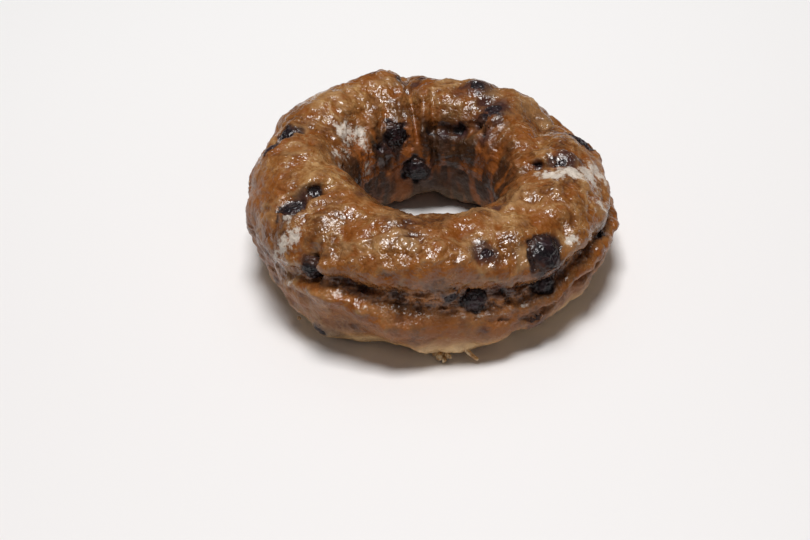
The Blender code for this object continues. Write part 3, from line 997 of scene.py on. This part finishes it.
dough_crust = make_crust()
dough_crust.data.materials.append(crust_finish())
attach(dough_crust, "root")
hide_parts("dough")

# The crumbs and strands
# Bits of crust that broke off at the lower edge and stuck in the wet glaze, and thin strands of
# dough that were pulled out of the ring when it was lifted from the oil.

# Crumbs: x, y, z and size, in millimetres
CRUMBS = (
    (-1.7, -41.0, 1.2, 1.1),
    (-0.8, -42.3, 1.0, 1.2),
    (0.3, -41.6, 1.7, 1.2),
    (1.0, -42.9, 1.4, 1.0),
    (0.0, -43.4, 0.6, 0.8),
    (-24.4, -31.3, 1.4, 0.7),
    (-21.7, -30.4, 1.0, 0.6),
    (-17.2, -34.4, 1.0, 0.8),
    (-34.0, -25.8, 1.6, 0.5),
)
CRUMB_SIDES = 8
CRUMB_RINGS = (-60, -20, 20, 60)  # latitudes, in degrees
CRUMB_STRETCH = (0.7, 1.2)  # of a crumb along x, y and z
CRUMB_CORNERS = (0.5, 1.3)  # how far its corners are pushed in and out
CRUMB_POLE = 0.9  # where its two poles lie, in sizes
CRUMB_LIFT = 0.02  # the least height of a crumb's rings
STRAND_STEPS = 9
STRAND_SIDES = 8
STRAND_TAPER = 0.55  # how much thinner a strand is at its tip, as a share of its radius
GOLDEN_CRUMB = tone(176, 124, 62)
LIGHT_CRUMB = tone(240, 212, 168)
# Strands: the points that each runs through, in millimetres, and its radius at the root
STRANDS = (
    (((3.2, -40.0, 3.8), (4.8, -42.2, 3.2), (6.2, -43.6, 2.0), (7.9, -44.6, 1.0)), 0.85),
    (((-43.0, 6.0, 17.0), (-44.2, 6.6, 18.0), (-44.9, 6.8, 19.2), (-45.2, 7.6, 20.0)), 0.14),
)


def make_crumbs():
    """The crumbs, a mesh each: balls over longitude and latitude, stretched, with corners that
    are pushed in and out at random."""
    chance = np.random.default_rng(5)
    turn = np.arange(CRUMB_SIDES) * math.tau / CRUMB_SIDES
    east, north = np.meshgrid(turn, np.radians(CRUMB_RINGS), indexing="ij")
    ball = np.stack([np.cos(east) * np.cos(north), np.sin(east) * np.cos(north), np.sin(north)], -1)
    made = []
    for number, (x, y, z, size) in enumerate(CRUMBS, 1):
        stretch = chance.uniform(*CRUMB_STRETCH, 3)
        rough = chance.uniform(*CRUMB_CORNERS, ball.shape[:2] + (1,))
        middle = np.array([x, y, z])
        grid = middle + ball * rough * stretch * size
        caps = middle + np.array([[0, 0, -CRUMB_POLE], [0, 0, CRUMB_POLE]]) * size * stretch
        grid[..., 2] = np.maximum(grid[..., 2], CRUMB_LIFT)
        caps[:, 2] = np.maximum(caps[:, 2], 0.0)
        made.append(closed_skin(f"crumb_{number}", grid, caps))
    return made


def make_strand(number, points, radius):
    """A tapering tube through the points: circles set across the path, closed at both ends."""
    at = np.linspace(0, len(points) - 1, STRAND_STEPS)
    path = np.stack([np.interp(at, range(len(points)), axis) for axis in zip(*points)], axis=-1)
    ahead = np.gradient(path, axis=0)
    ahead /= np.linalg.norm(ahead, axis=-1, keepdims=True)
    side = np.cross(ahead, [0.0, 0.0, 1.0])
    side /= np.linalg.norm(side, axis=-1, keepdims=True)
    over = np.cross(side, ahead)
    turn = (np.arange(STRAND_SIDES) * math.tau / STRAND_SIDES)[:, None, None]
    width = radius * (1 - STRAND_TAPER * np.linspace(0, 1, STRAND_STEPS))[None, :, None]
    grid = path + width * (np.cos(turn) * side + np.sin(turn) * over)
    return closed_skin(f"strand_{number}", grid, path[[0, -1]])


def crumb_finish():
    """Golden fried crumb with a little glaze."""
    finish = Finish("fried_crumb", Coat_Weight=0.5, Coat_Roughness=0.1, IOR=1.45)
    shade = finish.noise(1.0, 3, 0.6)
    colour = finish.mixed(shade.step(0.35, 0.65), GOLDEN_CRUMB, LIGHT_CRUMB)
    finish.fill(finish.shader, {"Base Color": colour, "Roughness": 0.3 + shade * 0.2})
    return finish.material


fried_crumb = crumb_finish()
bits = make_crumbs()
bits += [make_strand(number, *strand) for number, strand in enumerate(STRANDS, 1)]
for bit in bits:
    bit.data.materials.append(fried_crumb)
    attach(bit, "root")

# The berries
# Whole blueberries fried into the crust: squashed, shrivelled and nearly black, with the dent
# of the crown, a dull bloom in the wrinkles, grey on the crinkles that is partly bloom and partly
# painted highlight, and a thin coat of glaze. Each sits in its hollow.

CROWNED = (18, 20, 23)  # the berries that show their crown
CROWN_DEPTH = 0.5
CROWN_REACH = 0.42  # in radii, as the rim's place and width
CROWN_RIM = (0.22, 0.34, 0.09)  # height, place and width
SHRINK = 0.25  # how far the wrinkles lie inside the full berry, in millimetres
FOLD_HEIGHT = 0.26  # of the wrinkles, in millimetres
# What makes up the wrinkles: shares of the folds, the fine folds and the swells, and the mean
FOLD_SHARE, FINE_SHARE, SWELL_SHARE, WRINKLE_MEAN = 1.4, 1.1, 0.8, 0.5
# The wrinkles' noise: lattice cells to a radius, seed. The finest has cells to a millimetre
SWELL_CELLS, FOLD_CELLS, FINE_CELLS = (1.5, 61), (2.6, 62), (1.4, 63)
NUMBER_STRIDE = 10  # how far apart two berries read the noise
CRINKLE_SIZE = 1.4  # of the creases in the skin, in millimetres
CRINKLE_DEPTH = 0.4
SHADED_HEIGHTS = (0.008, 0.018)  # the heights between which a berry's gloss comes in
BERRY_TURNS = 96
BERRY_ROWS = 52
DARK_SKIN = tone(22, 17, 20)
PURPLE_SKIN = tone(50, 32, 34)
BLOOM = tone(84, 76, 84)
GREY_BLOOM_AND_GLINT = tone(100, 92, 98)
CRUST_FILM = tone(70, 42, 28)


def make_berry(number, theta, phi, radius, thickness, sink, crowned):
    """A squashed sphere over longitude and latitude: its radius is lessened by wrinkles, which
    are the folds where noise passes zero, and its crown is dented as a bell."""
    skin, out = skin_frame(theta, phi)
    turn = np.array(Vector(out).to_track_quat("Z", "Y").to_matrix())
    east = np.radians(np.arange(BERRY_TURNS) * 360 / BERRY_TURNS)[:, None]
    north = np.radians(np.linspace(-90, 90, BERRY_ROWS + 2)[1:-1])[None, :]
    ball = np.stack(
        [np.cos(east) * np.cos(north), np.sin(east) * np.cos(north), np.sin(north) + 0 * east],
        axis=-1,
    )
    ball = np.concatenate([ball.reshape(-1, 3), [[0, 0, -1], [0, 0, 1]]])
    shift = NUMBER_STRIDE * number
    coarse = lattice_noise(ball * SWELL_CELLS[0] + shift, SWELL_CELLS[1])
    folds = 1 - np.abs(lattice_noise(ball * FOLD_CELLS[0] + shift, FOLD_CELLS[1]))
    fine = 1 - np.abs(lattice_noise(ball * (FINE_CELLS[0] * radius) + shift, FINE_CELLS[1]))
    wrinkles = FOLD_SHARE * folds**4 + FINE_SHARE * fine**3 + SWELL_SHARE * coarse
    ridges = FOLD_HEIGHT * (wrinkles - WRINKLE_MEAN)
    points = ball * (radius - SHRINK + ridges)[:, None]
    away = np.hypot(points[:, 0], points[:, 1]) / radius
    height, place, width = CROWN_RIM
    rim = height * crowned * np.exp(-(((away - place) / width) ** 2)) * (ball[:, 2] > 0)
    dent = CROWN_DEPTH * crowned * np.exp(-((away / CROWN_REACH) ** 2)) * (ball[:, 2] > 0)
    points[:, 2] = points[:, 2] * thickness - dent + rim
    points = skin - out * sink + points @ turn.T
    values = {"fold": folds, "edge": away}
    grid = points[:-2].reshape(BERRY_TURNS, BERRY_ROWS, 3)
    return closed_skin(f"berry_skin_{number:02d}", grid, points[-2:], values)


def berry_finish():
    """Cooked berry skin: nearly black, purple where it is thin, grey with bloom on its folds,
    grey on its crinkles as partly bloom and partly painted highlight, brown with crust film at its
    edge, crinkled all over, and duller low on the doughnut."""
    finish = Finish("berry_skin", Coat_Weight=0.05, Coat_Roughness=0.1, Coat_IOR=1.35, IOR=1.4)
    patches = finish.noise(3.0, 3, 0.6)
    crinkle = finish.add("ShaderNodeTexNoise", {"noise_type": "RIDGED_MULTIFRACTAL"}, {
        "Vector": finish.place, "Scale": 1000 / CRINKLE_SIZE, "Detail": 4.0, "Roughness": 0.6,
    })
    fold = finish.attribute("fold")
    colour = finish.mixed(patches.step(0.4, 0.7), DARK_SKIN, PURPLE_SKIN)
    bloom = fold.step(0.8, 1.0) * patches.step(0.4, 0.65)
    colour = finish.mixed(bloom * 0.35, colour, BLOOM)
    # Grey on the crinkles' ridges: partly bloom, partly painted highlight
    colour = finish.mixed(crinkle.step(0.7, 1.3) * 0.3, colour, GREY_BLOOM_AND_GLINT)
    edge = finish.attribute("edge") + (patches - 0.5) * 0.8
    colour = finish.mixed(edge.step(0.55, 1.0) * 0.75, colour, CRUST_FILM)
    height = finish.add("ShaderNodeSeparateXYZ", {}, [finish.place], output="Z")
    low = 1 - height.step(*SHADED_HEIGHTS)
    rough = 0.22 + bloom * 0.2 + edge * 0.12 + (finish.noise(0.9) - 0.5) * 0.12 + low * 0.4
    normal = finish.bump(crinkle, CRINKLE_DEPTH)
    finish.fill(finish.shader, {"Base Color": colour, "Roughness": rough, "Normal": normal})
    return finish.material


berry_skin = berry_finish()
for number, (theta, phi, radius, thickness, sink, opening) in enumerate(BERRIES, 1):
    berry = make_berry(number, theta, phi, radius, thickness, sink, number in CROWNED)
    berry.data.materials.append(berry_skin)
    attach(berry, "root")
    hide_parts(f"berry_{number:02d}")

# The floor, lights and camera
# A plain pale table, painted lighter towards the back as painted light, under soft white
# studio light, most of it from one lamp straight above, and the camera looking down at the
# doughnut's split side.

FLOOR_WIDTH = 6.0
FLOOR_HEIGHT = -0.0003
NEAR_TABLE = tone(234, 231, 230)
FAR_TABLE = tone(254, 253, 252)
TABLE_FADES = (-0.06, 0.3)  # where along Y the near tone becomes the far one, a painted light that brightens the table towards the back
bpy.ops.mesh.primitive_plane_add(size=FLOOR_WIDTH, location=(0, 0, FLOOR_HEIGHT))
floor = bpy.context.object
floor.name = "table"
pale_table = Finish("pale_table", Roughness=0.6)
behind = pale_table.add("ShaderNodeSeparateXYZ", {}, [pale_table.place], output="Y")
table_painted_light = pale_table.mixed(behind.step(*TABLE_FADES), NEAR_TABLE, FAR_TABLE)
pale_table.fill(pale_table.shader, {"Base Color": table_painted_light})
floor.data.materials.append(pale_table.material)

world = bpy.data.worlds.new("soft_white")
world.use_nodes = True
sky = world.node_tree.nodes["Background"]
sky.inputs["Color"].default_value = (1.0, 0.99, 0.98, 1.0)
sky.inputs["Strength"].default_value = 0.06
bpy.context.scene.world = world
bpy.context.scene.view_settings.view_transform = "Standard"

# The lamps: name, place, width, power in watts
LAMPS = (
    ("overhead", (-0.01, -0.04, 0.75), 0.26, 5.6),
    ("softbox", (0.0, 0.35, 1.0), 1.0, 1.2),
    ("left_side", (-0.75, -0.1, 0.6), 0.5, 0.15),
    ("front_fill", (0.3, -0.8, 0.5), 0.7, 0.35),
)


def add_lamp(name, place, width, power):
    """A square lamp that faces the doughnut."""
    lamp = bpy.data.lights.new(name, "AREA")
    lamp.size = width
    lamp.energy = power
    holder = bpy.data.objects.new(name, lamp)
    holder.location = place
    holder.rotation_euler = (-Vector(place)).to_track_quat("-Z", "Y").to_euler()
    bpy.context.scene.collection.objects.link(holder)


for lamp in LAMPS:
    add_lamp(*lamp)

VIEW_HEIGHT = 38.0  # degrees above the table
VIEW_ROLL = -4.0  # degrees
VIEW_DISTANCE = 0.3524
VIEW_TARGET = (-0.00761, -0.02591, 0.01429)
LENS = 66.2

camera = bpy.data.objects.new("camera", bpy.data.cameras.new("camera"))
camera.data.lens = LENS
camera.data.clip_start = 0.01
tilt = math.radians(VIEW_HEIGHT)
ahead = Vector((0, math.cos(tilt), -math.sin(tilt)))
camera.location = Vector(VIEW_TARGET) - ahead * VIEW_DISTANCE
camera.rotation_mode = "QUATERNION"
roll = Quaternion((0, 0, 1), math.radians(VIEW_ROLL))
camera.rotation_quaternion = (-ahead).to_track_quat("Z", "Y") @ roll
bpy.context.scene.collection.objects.link(camera)
bpy.context.scene.camera = camera
